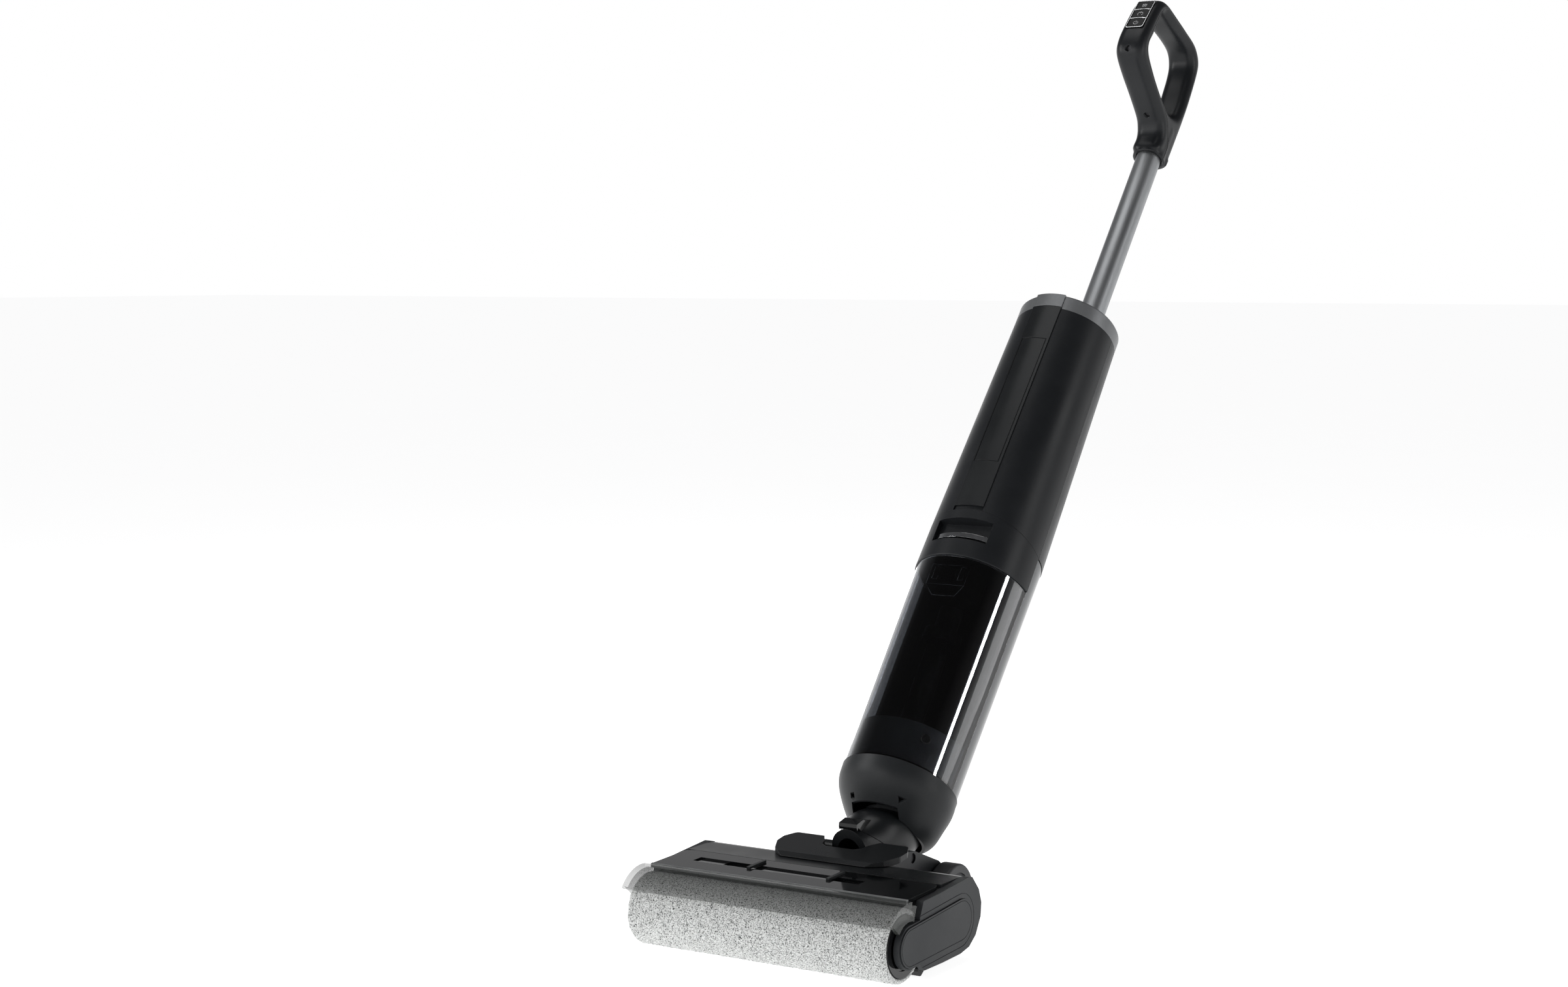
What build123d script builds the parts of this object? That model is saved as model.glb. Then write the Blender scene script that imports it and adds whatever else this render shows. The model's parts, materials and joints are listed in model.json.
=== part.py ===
from build123d import *
from math import cos, radians, sin
import os

os.makedirs("parts", exist_ok=True)

# Wet and dry floor scrubber, leaned back in its working pose. Millimetres, +Z up.
# -Y is the way the head pushes. The sections below are drawn from a point on the floor
# under the roller; FRAME_Y then puts the origin on the floor under the whole machine's middle.
FRAME_Y = 394.6

# ---- roller and floor head ----
ROLLER_L = 260.0
ROLLER_R = 32.3
CORE_R = 27.0
CAP_R = 26.4
CHAMBER_R = 34.2
HEAD_X = 130.0
ARM_IN = 131.5
ARM_OUT = 137.0
NOSE_R = 18.8
SPLIT_Z = 40.0
MOTOR_Y = 84.5
MOTOR_Z = 38.0
HOOD_R = 37.6
HOOD_T = 3.0

# ---- wheels, knuckle and neck ----
WHEEL_R = 29.0
WHEEL_Y = 195.0
WHEEL_IN = 54.5
WHEEL_OUT = 72.5
AXLE_R = 4.0
HINGE_Y = 147.0
HINGE_Z = 70.0
PIN_R = 4.5
ARM_GAP = 38.5
RUN = 0.05

# ---- leaning body ----
LEAN = 38.9
FOOT_Y = 117.4
BODY = Location((0, FOOT_Y, 0), (-LEAN, 0, 0))
BOWL_TOP = 154.0
HEAD_Z = 369.5
SEAM_Z = 407.5
SEAM_SLOPE = 0.2456
RING_Z = 668.0
RING_TOP = 685.0
TANK_R0 = 54.2
TANK_R1 = 56.5
HOUSE_R0 = 57.4
HOUSE_R1 = 51.6
WALL = 2.4
TUBE_R = 13.0
TUBE_Y = 31.6
STRIP_X = 15.5
SWIVEL_S = 80.0
SWIVEL_Y = -22.0
SPIGOT_R = 19.0
HANDLE_X = 16.5

NODES = {}


# ---- helpers ----
def box(x0, x1, y0, y1, z0, z1):
    middle = Pos((x0 + x1) / 2, (y0 + y1) / 2, (z0 + z1) / 2)
    return middle * Box(x1 - x0, y1 - y0, z1 - z0)


def rod_x(r, x0, x1, y, z):
    return Pos((x0 + x1) / 2, y, z) * Rot(0, 90, 0) * Cylinder(r, x1 - x0)


def rod_z(r, z0, z1, x=0.0, y=0.0):
    return Pos(x, y, (z0 + z1) / 2) * Cylinder(r, z1 - z0)


def slab_x(points, x0, x1, corner=0.0):
    outline = Polygon(*points, align=None)
    if corner:
        outline = fillet(outline.vertices(), corner)
    return extrude(Plane.YZ.offset(x0) * outline, amount=x1 - x0, dir=(1, 0, 0))


def slab_z(points, z0, z1, corner=0.0):
    outline = Polygon(*points, align=None)
    if corner:
        outline = fillet(outline.vertices(), corner)
    return extrude(Plane.XY.offset(z0) * outline, amount=z1 - z0, dir=(0, 0, 1))


def turned(profile):
    z0 = profile[0][1]
    z1 = profile[-1][1]
    face = Polygon((0, z0), *profile, (0, z1), align=None)
    return revolve(Plane.XZ * face, Axis.Z)


def sector_x(r0, r1, a0, a1, x0, x1):
    """Ring sector about the roller axis; angles from straight ahead, turning up and back."""
    far = 3 * r1
    rays = [(0, 0)]
    for k in range(5):
        a = radians(a0 + (a1 - a0) * k / 4)
        rays.append((-far * cos(a), far * sin(a)))
    ring = (Circle(r1) - Circle(r0)) & Polygon(*rays, align=None)
    return extrude(Plane.YZ.offset(x0) * Pos(0, ROLLER_R) * ring, amount=x1 - x0, dir=(1, 0, 0))


def stadium_x(r_front, r_back, x0, x1):
    """Closed band outline round the roller axis and the brush motor axis."""
    front = Pos(0, ROLLER_R) * CenterArc((0, 0), r_front, 0, 360)
    back = Pos(MOTOR_Y, MOTOR_Z) * CenterArc((0, 0), r_back, 0, 360)
    face = make_hull([front, back])
    return extrude(Plane.YZ.offset(x0) * face, amount=x1 - x0, dir=(1, 0, 0))


def both_sides(shape):
    return [shape, mirror(shape, about=Plane.YZ)]


def keep(name, shape):
    group = shape if isinstance(shape, list) else shape.solids()
    solids = [Pos(0, -FRAME_Y, 0) * s.solid() for s in group]
    NODES[name] = Compound(children=solids) if len(solids) > 1 else solids[0]


# ---- floor head ----
HEAD_SECTION = [
    (22, 8), (54, 8.1), (84, 9.1), (99.6, 12.1), (111, 20.1), (119.5, 34.5), (120.8, 46.7),
    (116.3, 59), (104.6, 71.2), (97, 72.5), (62.4, 72.3), (62.4, 69.4), (24, 66.8), (22, 60),
]
HEAD_CAVITY = [
    (42, 11), (84, 12.2), (98, 15.2), (108, 22.5), (116.2, 36), (117.3, 46.5), (113.3, 57.5),
    (103, 68.4), (64, 68.6), (62, 66.6), (42, 65),
]
ARM_PLATE = [
    (21.4, 67.1), (48, 68.5), (98.8, 73.0), (104.6, 71.7), (116.3, 59), (120.8, 46.7),
    (119.5, 34.5), (111, 20.1), (99.6, 12.1), (84.4, 9.1), (54.4, 8.1), (23.3, 8.0),
    (15.6, 16), (15.6, 54.3),
]
NOTCH = [
    (-30, 140), (-29, 131), (-22.5, 121), (-20, 113), (-14, 109),
    (14, 109), (20, 113), (22.5, 121), (29, 131), (30, 140),
]
BOSS_OUTLINE = [
    (-44, 81), (44, 81), (56, 91), (64, 107), (64.5, 119), (58, 131), (-58, 131), (-64.5, 119),
    (-64, 107), (-56, 91),
]


def head_block():
    block = slab_x(HEAD_SECTION, -HEAD_X, HEAD_X)
    block -= rod_x(CHAMBER_R, -HEAD_X - 1, HEAD_X + 1, 0, ROLLER_R)
    cavity = slab_x(HEAD_CAVITY, -HEAD_X + 3, HEAD_X - 3)
    cavity -= rod_x(CHAMBER_R + 3, -HEAD_X, HEAD_X, 0, ROLLER_R)
    shell = block - cavity
    shell -= neck_sweep()
    shell -= rod_x(3.6, HEAD_X - 4, HEAD_X + 1, MOTOR_Y, MOTOR_Z)
    shell -= box(-14, 14, 30, 45, 45, 61)
    return shell


def neck_sweep():
    """Space the knuckle turns through when the body is stood up."""
    return rod_x(46.5, -28, 28, HINGE_Y, HINGE_Z)


def make_chassis():
    low = box(-140, 140, 0, 130, 0, SPLIT_Z)
    return head_block() & low


def make_head_cover():
    high = box(-140, 140, 0, 130, SPLIT_Z + 0.2, 80)
    return head_block() & high


def arm_plate():
    nose = rod_x(NOSE_R, ARM_IN, ARM_OUT, 0, ROLLER_R)
    neck = slab_x([(0, 13.6), (0, 51), (30, 53), (30, 15)], ARM_IN, ARM_OUT)
    plate = slab_x(ARM_PLATE, HEAD_X + 0.2, ARM_OUT)
    plate -= rod_x(CHAMBER_R, HEAD_X, ARM_IN, 0, ROLLER_R)
    return nose + neck + plate


def make_arm_right():
    arm = arm_plate()
    arm -= stadium_x(16.2, 11.2, 132.9, ARM_OUT + 1)
    arm -= stadium_x(17.2, 18.7, 136.2, ARM_OUT + 1)
    groove = stadium_x(22.2, 23.4, 136.6, ARM_OUT + 1) - stadium_x(21.6, 22.8, 136, ARM_OUT + 2)
    arm -= groove
    arm -= rod_x(6.3, 130, 134, 0, ROLLER_R)
    arm -= rod_x(3.6, 129, 134, MOTOR_Y, MOTOR_Z)
    return arm


def make_belt_cover():
    cover = stadium_x(17.0, 18.5, 136.3, 138.2)
    groove = stadium_x(15.6, 17.1, 137.8, 139) - stadium_x(15.1, 16.6, 137, 140)
    return cover - groove


def make_arm_left():
    arm = mirror(arm_plate(), about=Plane.YZ)
    stub = rod_x(PIN_R, -ARM_IN - 1, -122, 0, ROLLER_R)
    boss = mirror(stadium_x(17.0, 18.5, ARM_OUT - 1, ARM_OUT + 1.2), about=Plane.YZ)
    return arm + stub + boss


def make_drive_belt():
    return stadium_x(14.7, 9.7, 133.2, 135.6) - stadium_x(13.3, 8.3, 133, 136)


def make_brush_motor():
    motor = rod_x(17, 22, 119, MOTOR_Y, MOTOR_Z)
    motor += rod_x(11, 119, 122, MOTOR_Y, MOTOR_Z)
    motor += box(40, 60, 70, 84, 12.4, 26)
    motor += box(90, 110, 70, 84, 12.4, 26)
    return motor - rod_x(3 + RUN, 108, 130, MOTOR_Y, MOTOR_Z)


def make_motor_pulley():
    pulley = rod_x(8, 133.1, 135.7, MOTOR_Y, MOTOR_Z)
    return pulley + rod_x(3, 109, 134, MOTOR_Y, MOTOR_Z)


def make_suction_duct():
    duct = box(-16, 16, 42.2, 96, 43, 63)
    return duct - box(-14, 14, 40, 97, 45, 61)


def make_scraper():
    return slab_x([(26, 7.9), (37, 7.9), (37, 4.6), (31.4, 0.7), (29.4, 0.7), (26, 5.2)], -129, 129)


def make_boss_plate():
    side = [(80.5, 73.0), (85.5, 76.6), (131, 83.8), (131, 79.2), (110, 75.2), (100, 73.0)]
    plate = slab_x(side, -70, 70)
    plate &= slab_z(BOSS_OUTLINE, 70, 90, 5)
    return plate - slab_z(NOTCH, 70, 90)


def make_rear_carrier():
    side = [
        (92, 12), (92, 72.7), (100, 72.7), (110, 74.9), (129, 78.5), (150, 76), (193, 59.5),
        (212, 46), (219, 30), (212, 15), (195, 9), (110, 9),
    ]
    body = slab_x(side, -53.5, 53.5)
    body -= slab_x(HEAD_SECTION, -60, 60)
    body -= box(-ARM_GAP, ARM_GAP, 113, 230, 14, 90)
    body -= box(-ARM_GAP, ARM_GAP, 176, 230, 0, 20)
    body -= neck_sweep()
    body -= slab_z(NOTCH, 60, 90)
    for side_sign in (-1, 1):
        inner = sorted((side_sign * 37, side_sign * 54))
        body -= rod_x(PIN_R, inner[0], inner[1], HINGE_Y, HINGE_Z)
        body -= rod_x(AXLE_R, inner[0], inner[1], WHEEL_Y, WHEEL_R)
    return body


def make_pivot_pins():
    return both_sides(rod_x(PIN_R, 20, 52, HINGE_Y, HINGE_Z))


def make_wheel_axles():
    return both_sides(rod_x(AXLE_R, 36, 71.5, WHEEL_Y, WHEEL_R))


def make_tyre():
    tyre = rod_x(WHEEL_R, WHEEL_IN, WHEEL_OUT, WHEEL_Y, WHEEL_R)
    rims = [e for e in tyre.edges().filter_by(GeomType.CIRCLE) if e.radius > WHEEL_R - 0.1]
    tyre = fillet(rims, 2.5)
    return tyre - rod_x(21.0, WHEEL_IN - 1, WHEEL_OUT + 1, WHEEL_Y, WHEEL_R)


def make_hub():
    hub = rod_x(21.0, WHEEL_IN, WHEEL_OUT - 1.5, WHEEL_Y, WHEEL_R)
    hub -= rod_x(17.5, WHEEL_OUT - 4, WHEEL_OUT, WHEEL_Y, WHEEL_R)
    hub += rod_x(8.5, WHEEL_OUT - 5, WHEEL_OUT, WHEEL_Y, WHEEL_R)
    return hub - rod_x(AXLE_R + RUN, WHEEL_IN - 1, WHEEL_OUT - 0.8, WHEEL_Y, WHEEL_R)


# ---- roller ----
def make_roller_sleeve():
    sleeve = rod_x(ROLLER_R, -ROLLER_L / 2, ROLLER_L / 2, 0, ROLLER_R)
    rims = [e for e in sleeve.edges().filter_by(GeomType.CIRCLE)]
    sleeve = fillet(rims, 2.0)
    return sleeve - rod_x(CORE_R, -140, 140, 0, ROLLER_R)


def make_roller_core():
    core = rod_x(CORE_R, -128, 128, 0, ROLLER_R)
    return core - rod_x(24.0, -140, 140, 0, ROLLER_R)


def make_roller_caps():
    right = rod_x(CAP_R, 128, 130.6, 0, ROLLER_R) + rod_x(23.9, 118, 128, 0, ROLLER_R)
    left = mirror(right, about=Plane.YZ)
    right -= rod_x(20.5, 129.2, 131, 0, ROLLER_R) - rod_x(10, 129, 132, 0, ROLLER_R)
    right -= rod_x(6.0, 117, 132, 0, ROLLER_R)
    left -= rod_x(PIN_R + RUN, -132, -117, 0, ROLLER_R)
    return [right, left]


def make_roller_pulley():
    pulley = rod_x(13, 133.1, 135.7, 0, ROLLER_R)
    return pulley + rod_x(6, 119, 134, 0, ROLLER_R)


# ---- lift-off roller cover ----
def make_hood():
    shell = sector_x(HOOD_R - HOOD_T, HOOD_R, 36, 97, -136, 136)
    cheek = sector_x(21.5, HOOD_R - HOOD_T, 40, 110, 132.2, 136)
    return shell + cheek + mirror(cheek, about=Plane.YZ)


def make_front_seal():
    return slab_x([(4.9, 66.4), (7.4, 66.4), (7.4, 70.3), (4.9, 70.0)], -130, 130)


def make_window_panel():
    panel = slab_x([(7.6, 67.0), (24, 67.1), (62, 69.7), (62, 72.2), (7.6, 70.0)], -129.8, 129.8)
    corners = [e for e in panel.edges().filter_by(Axis.Z) if e.center().Y > 50]
    panel = fillet(corners, 9)
    panel -= box(-103, 36, 30.5, 43.5, 70.0, 75)
    panel -= box(-73, -45, 30.5, 43.5, 60, 75)
    return panel - box(40, 68, 30, 42, 60, 75)


def make_cover_clips():
    side = [(29, 70.95), (55, 72.0), (55, 73.9), (29, 72.8)]
    left = slab_x(side, -44.9, -41.5)
    right = slab_x(side, 36.3, 39.7)
    return [left, right]


# ---- knuckle and neck ----
def elbow(gap=0.0):
    """Curved duct from its forward mouth, past the pivot and up to the bowl, as one solid."""
    ends = [
        ((0, 125.5, 76.8), 10.0, 17.5),
        ((0, 147.5, 74), 10.0, 25.0),
        ((0, 172, 76.5), 26.0, 31.5),
        ((0, 190, 80.5), 40.0, 32.0),
        ((0, 203.7, 84.6), 90 - LEAN, 30.6),
    ]
    sections = []
    for centre, pitch, r in ends:
        plane = Plane(centre, x_dir=(1, 0, 0), z_dir=(0, cos(radians(pitch)), sin(radians(pitch))))
        sections.append(plane * Circle(r + gap))
    return loft(sections)


def above_swivel(gap):
    return BODY * box(-200, 200, -300, 300, SWIVEL_S + gap, 400)


def below_swivel(gap):
    return BODY * box(-200, 200, -300, 300, -300, SWIVEL_S - gap)


def air_path():
    """Straight bore from the mouth of the knuckle back into the neck."""
    return Location((0, 118, 75), (80, 0, 0)) * Pos(0, 0, -22) * Cylinder(11.5, 72)


def make_knuckle():
    body = elbow() & below_swivel(0.2)
    body += rod_x(6.8, -ARM_GAP + 0.4, ARM_GAP - 0.4, HINGE_Y, HINGE_Z)
    body -= air_path()
    body -= BODY * rod_z(SPIGOT_R + RUN, SWIVEL_S - 6, SWIVEL_S + 5, 0, SWIVEL_Y)
    for x0, x1 in ((-40, -19.8), (19.8, 40)):
        body -= rod_x(PIN_R + RUN, x0, x1, HINGE_Y, HINGE_Z)
    return body


def make_latch_block():
    side = [(123.4, 96), (124, 99.3), (134.5, 101.9), (150, 99), (150, 85), (126, 89)]
    block = slab_x(side, -9.4, 9.4)
    block -= BODY * rod_z(32.4, 60, SWIVEL_S + 0.3, 0, SWIVEL_Y)
    return block - elbow()


def make_neck():
    body = elbow() & above_swivel(0.2)
    body += BODY * rod_z(SPIGOT_R, SWIVEL_S - 5.5, SWIVEL_S + 1, 0, SWIVEL_Y)
    body -= air_path()
    body -= BODY * rod_z(14.5, 100, 125, 0, 10)
    return body - BODY * rod_z(SPIGOT_R - 4, SWIVEL_S - 6, SWIVEL_S + 3, 0, SWIVEL_Y)


def make_neck_collar():
    """Flange inside the bowl with the pipe up to the tank, in the body's axes."""
    collar = rod_z(29.5, 120.1, 124, 0, 14) + rod_z(18, 124, 150.4, 0, 8)
    return collar - rod_z(14.5, 119, 151, 0, 8)


# ---- leaning body, in its own axes: z along the body, -y its front ----
BOWL = [
    (106, 35, 13), (112, 41, 12), (120, 46.3, 8.6), (128, 50.3, 4.6), (138, 54.2, 1.6),
    (146, 55.3, 0.5), (154, 55.4, 0),
]


def bowl_loft(inset, z_top):
    sections = []
    for z, r, y in BOWL:
        sections.append(Plane.XY.offset(min(z, z_top)) * Pos(0, y) * Circle(r - inset))
    return loft(sections)


def make_bowl():
    outer = bowl_loft(0, 154)
    inner = bowl_loft(2.6, 154) & box(-80, 80, -80, 80, 100, 150.5)
    inner += rod_z(32.4, 100, 108, 0, 13)
    bowl = outer - inner
    bowl -= box(-24, 24, -80, -8, 100, 117)
    bowl -= slab_x([(-60, 106), (-60, 123), (-30, 123), (-30, 106)], -24.5, -19.5)
    bowl -= slab_x([(-60, 108), (-60, 125), (-30, 125), (-30, 108)], 25, 32.5)
    bowl -= rod_z(14.5, 149, 155, 0, 8)
    return (BODY * bowl) - elbow(0.3)


def under_seam(shift):
    """Everything below the sloping seam plane, moved down by shift."""
    z_front = SEAM_Z + SEAM_SLOPE * 80 - shift
    z_back = SEAM_Z - SEAM_SLOPE * 10 - shift
    return slab_x([(-80, z_front), (10, z_back), (10, 300), (-80, 300)], -80, 80)


def house_r(z):
    return HOUSE_R0 + (HOUSE_R1 - HOUSE_R0) * (z - SEAM_Z) / (RING_Z - SEAM_Z)


def house_solid(inset, z0, z1):
    return turned([(house_r(z0) - inset, z0), (house_r(z1) - inset, z1)])


def tank_solid(inset, z0, z1):
    def r(z):
        return TANK_R0 + (TANK_R1 - TANK_R0) * (z - BOWL_TOP) / (HEAD_Z - BOWL_TOP) - inset
    return turned([(r(z0), z0), (r(z1), z1)])


def front_half(y1):
    return box(-80, 80, -80, y1, 90, 760)


def make_spine():
    spine = box(-40, 40, 2.0, 11, 154.1, 406.8)
    return spine - box(-37, 37, 4.2, 8.8, 154, 407)


def make_front_housing():
    shell = house_solid(0, 400, RING_Z) & front_half(1.8)
    inner = house_solid(WALL, 400, RING_Z + 1) - under_seam(-3.0)
    shell -= inner
    shell -= under_seam(-0.3)
    recess = box(-STRIP_X - 0.3, STRIP_X + 0.3, -80, -30, 405, 700) - house_solid(1.5, 395, 705)
    return shell - recess


def make_front_strip():
    strip = box(-STRIP_X, STRIP_X, -80, -30, 426, 669.2)
    strip &= house_solid(-1.0, 400, 700) - house_solid(1.4, 395, 705)
    frame = box(-13.4, 13.4, -80, -30, 478, 629) - box(-12.6, 12.6, -80, -30, 478.8, 628.2)
    return strip - (frame - house_solid(-0.4, 400, 700))


def make_strip_cap():
    cap = box(-STRIP_X, STRIP_X, -80, -30, 669.7, 684.6)
    return cap & (house_solid(-1.2, 600, 720) - house_solid(1.4, 595, 725))


def make_rear_housing():
    shell = house_solid(0, SEAM_Z, RING_Z) - house_solid(WALL, SEAM_Z + 3, RING_Z + 1)
    return shell & box(-80, 80, 2.0, 80, SEAM_Z, RING_Z)


def make_top_ring():
    r = HOUSE_R1
    ring = turned([(r, RING_Z + 0.2), (r, 682.5), (r - 1.4, 684.4), (r - 3.6, RING_TOP)])
    ring -= rod_z(r - 7, 681.5, 690)
    ring -= rod_z(r - 4, 660, 678)
    ring -= rod_z(TUBE_R + 0.02, 660, 700, 0, TUBE_Y)
    recess = box(-STRIP_X - 0.3, STRIP_X + 0.3, -80, -30, 660, 700) - house_solid(1.5, 595, 725)
    return ring - recess


def make_tube():
    return rod_z(TUBE_R, 562, 952, 0, TUBE_Y) - rod_z(TUBE_R - 1.3, 560, 960, 0, TUBE_Y)


def make_tube_socket():
    clamp = rod_z(17, 566, 604, 0, TUBE_Y) + box(-9, 9, 40, 50, 566, 604)
    clamp &= house_solid(WALL + 0.1, 500, 650)
    clamp += rod_z(17, 556, 566, 0, TUBE_Y) & house_solid(WALL + 0.1, 500, 650)
    return clamp - rod_z(TUBE_R + 0.02, 562, 610, 0, TUBE_Y) - rod_z(9, 550, 570, 0, TUBE_Y)


def make_fan_motor():
    can = turned([(36, 442), (38, 444), (38, 500), (34, 505)])
    foot = house_solid(WALL + 0.1, 438.5, 441.9)
    shaft = rod_z(3, 428, 442)
    foot -= rod_z(33, 438, 442)
    foot += box(-36, 36, -4, 4, 439.5, 442.2)
    return can + foot + shaft


def make_impeller():
    wheel = rod_z(31, 435, 436.5) + rod_z(7, 429, 437)
    for k in range(9):
        blade = box(6, 30, -0.8, 0.8, 429.5, 436)
        wheel += Rot(0, 0, 40 * k) * blade
    return wheel - rod_z(3 + RUN, 425, 440)


def make_battery_pack():
    pack = box(-31, 31, -35, 13, 512, 552)
    return fillet(pack.edges().filter_by(Axis.Z), 6)


def make_control_board():
    board = box(-25, 25, -40.5, -38.9, 516, 600)
    board += box(-12, 4, -38.9, -36.2, 560, 576)
    return board + box(-18, 16, -38.9, -34, 584, 594)


# ---- dirty water tank ----
def make_dirty_tank():
    shell = tank_solid(0, BOWL_TOP + 0.3, HEAD_Z - 0.2)
    inner = tank_solid(2.2, BOWL_TOP + 2.5, HEAD_Z + 1) & front_half(-0.6)
    tank = (shell & front_half(1.6)) - inner
    return tank - plug_rod(4.55, 45, 60)


def plug_rod(r, d0, d1):
    """Rod along the radius through the drain plug."""
    aim = Location((0, 0, 182), (0, 0, -49)) * Rot(0, 90, 0)
    return aim * Pos(0, 0, (d0 + d1) / 2) * Cylinder(r, d1 - d0)


def make_base_cup():
    outer = tank_solid(2.4, BOWL_TOP + 2.6, 195.5) & front_half(-0.8)
    inner = tank_solid(4.2, BOWL_TOP + 4.6, 200) & front_half(-2.6)
    cup = outer - inner
    cup -= plug_rod(4.55, 40, 60)
    return cup - rod_z(11.0, 150, 165, 0, -19)


def make_cup_plug():
    return plug_rod(4.5, 49.6, 54.9)


def make_riser_tube():
    tube = rod_z(11.0, BOWL_TOP + 2.6, 330, 0, -19)
    tube += rod_z(13.0, 288, 291.9, 0, -19)
    return tube - rod_z(9.4, 150, 340, 0, -19)


def make_float_ring():
    return rod_z(18, 292, 304, 0, -19) - rod_z(11.3, 290, 306, 0, -19)


def make_filter_cage():
    top = Plane.XY.offset(342) * Pos(0, -28) * Rectangle(40, 36)
    low = Plane.XY.offset(332) * Pos(0, -28) * Rectangle(24, 30)
    cage = loft([low, top]) + box(-20, 20, -46, -10, 342, HEAD_Z - 0.1)
    cage -= box(-18.4, 18.4, -44.4, -11.6, 344, HEAD_Z + 1)
    for k in range(4):
        x = -13.5 + 9 * k
        cage -= box(x - 2.6, x + 2.6, -60, -5, 348, 362)
    return cage


def make_tank_head():
    r0 = 57.9
    r1 = 57.2
    outer = turned([(r0 - 0.5, HEAD_Z), (r0, HEAD_Z + 0.7), (r1, 424)])
    inner = turned([(r0 - 2.8, HEAD_Z + 2.5), (r1 - 2.8, 424)])
    outer &= front_half(1.6) & under_seam(0)
    inner &= front_half(-1.0) & under_seam(2.6)
    pocket_wall = box(-31.5, 31.5, -56, -41.5, 385.5, 414) & outer
    head = (outer - inner) + pocket_wall
    return head - box(-29, 29, -80, -43.5, 388, 411.5)


def make_release_bar():
    bar = turned([(54.4, 391.8), (54.4, 396.6)]) - rod_z(50.4, 380, 400)
    return bar & box(-28.7, 28.7, -80, -43.7, 390, 400)


# ---- clean water tank ----
def make_clean_tank():
    z1 = SEAM_Z - 0.8
    shell = tank_solid(0, BOWL_TOP + 0.3, z1)
    back = box(-80, 80, 2.0, 80, 100, 500)
    block = (shell & back) - box(-40.3, 40.3, 0, 11.3, 100, 500)
    deep = tank_solid(2.2, BOWL_TOP + 2.5, z1 - 2.2)
    deep &= box(-80, 80, 4.2, 80, 100, 500)
    deep -= box(-42.5, 42.5, 0, 13.5, 100, 500)
    return block - deep - rod_z(9.0, z1 - 5, z1 + 5, 0, 34)


def make_clean_cap():
    z1 = SEAM_Z - 0.8
    cap = rod_z(8.9, z1 - 4, z1, 0, 34)
    return cap - rod_z(6.5, z1 - 5, z1 - 1.2, 0, 34)


# ---- handle, in the body's axes ----
OUTLINE = [
    (14.6, 925), (14.6, 950), (10, 958), (2, 963), (-23, 968.5), (-49, 973), (-70, 978.5),
    (-80, 986), (-83.5, 999), (-83, 1014), (-80, 1038), (-76.5, 1053), (-69, 1063), (-58, 1068.5),
    (-42, 1072), (-10, 1078), (14, 1082), (28, 1080), (39, 1073), (44.5, 1060), (48.4, 1027),
    (49.6, 998), (49.3, 969), (48.6, 940), (48.6, 925),
]
OPENING = [
    (-60, 1051), (-62.5, 1037), (-63, 1018), (-64.5, 1005), (-60, 997.5), (-43, 991),
    (-19.4, 985), (-1, 982.5), (11, 981.5), (22, 984.5), (31, 992), (33.2, 1010), (31.7, 1030),
    (30, 1046), (26, 1059), (16, 1066), (-2.4, 1064.5), (-29.4, 1058.5), (-50, 1055),
]
SEAM = [
    (31.6, 900), (31.6, 948), (24, 961), (10, 972.5), (-13, 978.8), (-40, 983), (-62, 988),
    (-70.5, 997), (-71.5, 1012), (-69, 1038), (-65, 1051), (-57, 1060), (-46, 1066), (-40, 1090),
    (-120, 1090), (-120, 900),
]
PANEL = Plane((0, -80.6, 1033.5), x_dir=(1, 0, 0), z_dir=(0, -0.988, 0.1545))


def handle_solid():
    base = slab_x(OUTLINE, -HANDLE_X, HANDLE_X)
    rims = [e for e in base.edges() if abs(abs(e.center().X) - HANDLE_X) < 0.01 and e.center().Z > 926]
    body = chamfer(rims, 5.0)
    body -= slab_x(OPENING, -HANDLE_X - 1, HANDLE_X + 1)
    return body - rod_z(TUBE_R + 0.02, 900, 953, 0, TUBE_Y)


def seam_block():
    outline = Polygon(*SEAM, align=None)
    return extrude(Plane.YZ.offset(-30) * outline, amount=60, dir=(1, 0, 0))


def panel_box(half_x, v0, v1, w0, w1):
    return PANEL.location * box(-half_x, half_x, v0, v1, w0, w1)


def screw_rods(r, d0, d1):
    """Rods along the two handle screws, measured down from the surface."""
    rods = []
    for y, z, pitch in ((-79.5, 986.5, -38.0), (-1.5, 963.2, -72.0)):
        aim = (0, -cos(radians(pitch)), sin(radians(pitch)))
        place = Plane((0, y, z), x_dir=(1, 0, 0), z_dir=aim).location
        rods.append(place * Pos(0, 0, -(d0 + d1) / 2) * Cylinder(r, d1 - d0))
    return rods


def make_handle_front():
    shell = handle_solid() & seam_block()
    shell -= panel_box(10.3, -22.6, 22.6, -4.0, 10)
    for rod in screw_rods(2.9, -4, 6.5):
        shell -= rod
    return shell


def make_handle_rear():
    shell = handle_solid() - seam_block()
    shell -= panel_box(10.3, -22.6, 22.6, -4.0, 10)
    for rod in screw_rods(2.9, -4, 6.5):
        shell -= rod
    return shell


def make_button_bezel():
    bezel = panel_box(10.0, -22.3, 22.3, -3.9, -0.3)
    for v in (-14.4, 0.0, 14.4):
        bezel -= panel_box(8.5, v - 6.7, v + 6.7, -1.9, 3)
        bezel -= panel_box(5.5, v - 4.5, v + 4.5, -5, 3)
    return bezel


def make_button(v):
    cap = panel_box(8.3, v - 6.5, v + 6.5, -0.6, 0.3)
    cap += panel_box(5.3, v - 4.3, v + 4.3, -2.6, -0.6)
    return cap


def make_handle_screws():
    return screw_rods(2.85, 3.4, 6.4)


# ---- collect ----
def in_body(shape):
    if isinstance(shape, list):
        return [BODY * s for s in shape]
    return BODY * shape


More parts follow.
